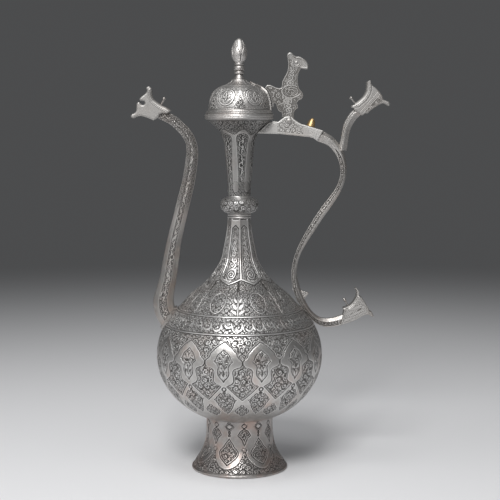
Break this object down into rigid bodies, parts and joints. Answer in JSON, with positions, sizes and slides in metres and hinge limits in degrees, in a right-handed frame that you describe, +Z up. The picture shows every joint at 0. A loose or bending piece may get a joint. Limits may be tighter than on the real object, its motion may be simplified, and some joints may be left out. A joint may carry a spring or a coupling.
{
  "type": "ibrik ewer",
  "caption": "Tall footed ewer with a round belly, slender knopped neck, upright curved spout, S-shaped handle with dragon heads, and a hinged domed lid with a bird thumbpiece.",
  "frame": {"origin": "on the surface that the foot stands on, under the middle of the whole ewer from the spout head to the upper handle head", "axes": "+Z up, +X towards the handle and -X towards the spout, +Y away from the viewer of the picture"},
  "size_m": [0.2554, 0.1656, 0.4291],
  "materials": {
    "tinned_sheet": "worn tin over copper sheet, engraved, with dark filled ground",
    "cast_metal": "tinned cast copper alloy, engraved and rubbed pale at the edges",
    "brass": "bare yellow brass, rubbed bright"
  },
  "bodies": {
    "ewer": {"foot_rim": "tinned_sheet", "foot": "tinned_sheet", "bowl": "tinned_sheet", "shoulder": "tinned_sheet", "lower_neck": "tinned_sheet", "neck_collar": "tinned_sheet", "neck_knop": "tinned_sheet", "upper_neck": "tinned_sheet", "mouth_funnel": "tinned_sheet", "mouth_rim": "tinned_sheet", "spout_tube": "cast_metal", "spout_collar": "cast_metal", "spout_head": "cast_metal", "spout_head_pin_1": "cast_metal", "spout_head_pin_2": "cast_metal", "hinge_bracket": "cast_metal", "hinge_pin": "cast_metal", "stop_bud": "brass", "handle_bar": "cast_metal", "handle_branch": "cast_metal", "handle_spur": "cast_metal", "upper_head": "cast_metal", "lower_head": "cast_metal", "upper_head_pin_1": "cast_metal", "upper_head_pin_2": "cast_metal", "lower_head_pin_1": "cast_metal", "lower_head_pin_2": "cast_metal"},
    "lid": {"lid_bezel": "tinned_sheet", "lid_flange": "tinned_sheet", "lid_dome": "tinned_sheet", "lid_strap": "cast_metal", "bird_thumbpiece": "cast_metal", "finial_stem": "tinned_sheet", "finial_washer": "tinned_sheet", "finial_bud": "tinned_sheet"}
  },
  "joints": [
    {"name": "lid_hinge", "type": "hinge", "parent": "ewer", "child": "lid", "pos_m": [0.02799, 0, 0.34823], "axis": [0, 1, 0], "range_deg": [0, 54]}
  ]
}
